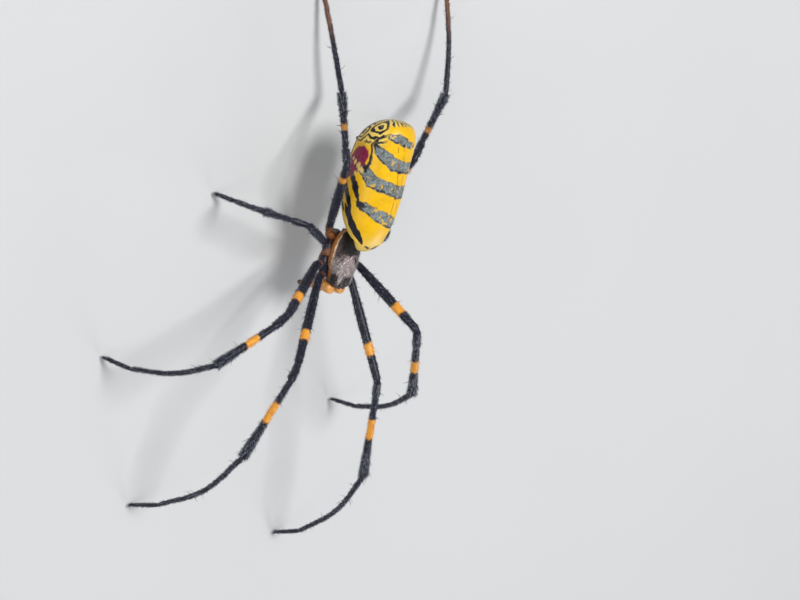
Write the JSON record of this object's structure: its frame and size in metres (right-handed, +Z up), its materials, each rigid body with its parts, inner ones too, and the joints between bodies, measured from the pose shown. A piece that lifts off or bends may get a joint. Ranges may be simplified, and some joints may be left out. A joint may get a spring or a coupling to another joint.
{
  "type": "golden silk orb weaver",
  "caption": "Life-size still model of a female golden silk orb weaver standing on long banded legs, with a yellow and grey-blue banded abdomen",
  "frame": {"origin": "on the floor, under the middle of the box around the whole spider", "axes": "+Y toward the head and front legs, +Z up, +X to the spider's right"},
  "size_m": [0.0374, 0.0702, 0.0166],
  "materials": {
    "carapace": "dark brown cuticle under silvery hair",
    "abdomen": "smooth yellow skin with grey-blue bands and a crimson flank",
    "leg": "black cuticle with orange-yellow rings and short hair",
    "coxa": "brown and orange cuticle",
    "jaw": "light orange cuticle",
    "fang": "polished dark brown",
    "palp": "orange cuticle with dark tip",
    "spinneret": "dark brown"
  },
  "bodies": {
    "root": {"cephalothorax": "carapace", "abdomen": "abdomen", "pedicel": "coxa", "spinnerets": "spinneret", "chelicera_right": "jaw", "fang_right": "fang", "palp_right_base": "palp", "palp_right_tip": "palp", "chelicera_left": "jaw", "fang_left": "fang", "palp_left_base": "palp", "palp_left_tip": "palp", "leg_1_right_coxa": "coxa", "leg_1_right_femur": "leg", "leg_1_right_patella": "leg", "leg_1_right_tibia": "leg", "leg_1_right_metatarsus": "leg", "leg_1_right_tarsus": "leg", "leg_1_left_coxa": "coxa", "leg_1_left_femur": "leg", "leg_1_left_patella": "leg", "leg_1_left_tibia": "leg", "leg_1_left_metatarsus": "leg", "leg_1_left_tarsus": "leg", "leg_2_right_coxa": "coxa", "leg_2_right_femur": "leg", "leg_2_right_patella": "leg", "leg_2_right_tibia": "leg", "leg_2_right_metatarsus": "leg", "leg_2_right_tarsus": "leg", "leg_2_left_coxa": "coxa", "leg_2_left_femur": "leg", "leg_2_left_patella": "leg", "leg_2_left_tibia": "leg", "leg_2_left_metatarsus": "leg", "leg_2_left_tarsus": "leg", "leg_3_right_coxa": "coxa", "leg_3_right_femur": "leg", "leg_3_right_patella": "leg", "leg_3_right_tibia": "leg", "leg_3_right_metatarsus": "leg", "leg_3_right_tarsus": "leg", "leg_3_left_coxa": "coxa", "leg_3_left_femur": "leg", "leg_3_left_patella": "leg", "leg_3_left_tibia": "leg", "leg_3_left_metatarsus": "leg", "leg_3_left_tarsus": "leg", "leg_4_right_coxa": "coxa", "leg_4_right_femur": "leg", "leg_4_right_patella": "leg", "leg_4_right_tibia": "leg", "leg_4_right_metatarsus": "leg", "leg_4_right_tarsus": "leg", "leg_4_left_coxa": "coxa", "leg_4_left_femur": "leg", "leg_4_left_patella": "leg", "leg_4_left_tibia": "leg", "leg_4_left_metatarsus": "leg", "leg_4_left_tarsus": "leg"}
  },
  "joints": []
}
